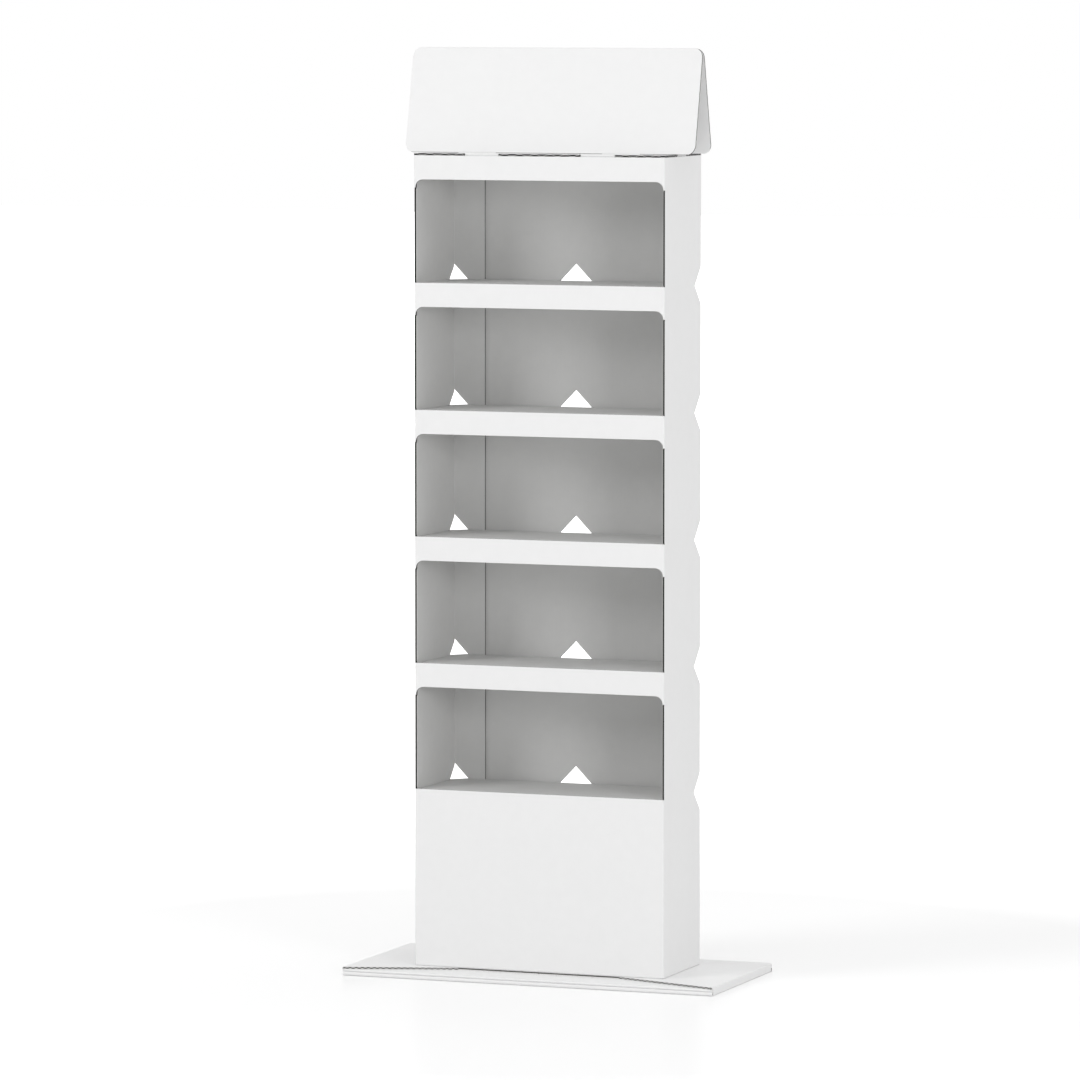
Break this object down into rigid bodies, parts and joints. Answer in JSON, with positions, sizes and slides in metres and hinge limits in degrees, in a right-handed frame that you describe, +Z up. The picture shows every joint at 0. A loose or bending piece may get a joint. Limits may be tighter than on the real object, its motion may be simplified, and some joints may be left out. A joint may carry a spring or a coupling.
{
  "type": "cardboard display stand",
  "caption": "Free-standing folded board display column with open compartments, a tent-shaped header card and a flat foot plate.",
  "frame": {"origin": "centre of the foot plate's underside, on the floor", "axes": "+Z up along the column; the compartments open towards -Y; +X to the right as seen from the front"},
  "size_m": [0.593, 0.269, 1.3981],
  "materials": {
    "white_board": "matte",
    "thin_board": "matte"
  },
  "bodies": {
    "root": {"outer_wrap": "white_board", "top_panel": "white_board", "header": "white_board", "base_tray": "white_board", "base_pad": "thin_board", "shelf_1": "white_board", "shelf_2": "white_board", "shelf_3": "white_board", "shelf_4": "white_board", "shelf_5": "white_board"}
  },
  "joints": []
}
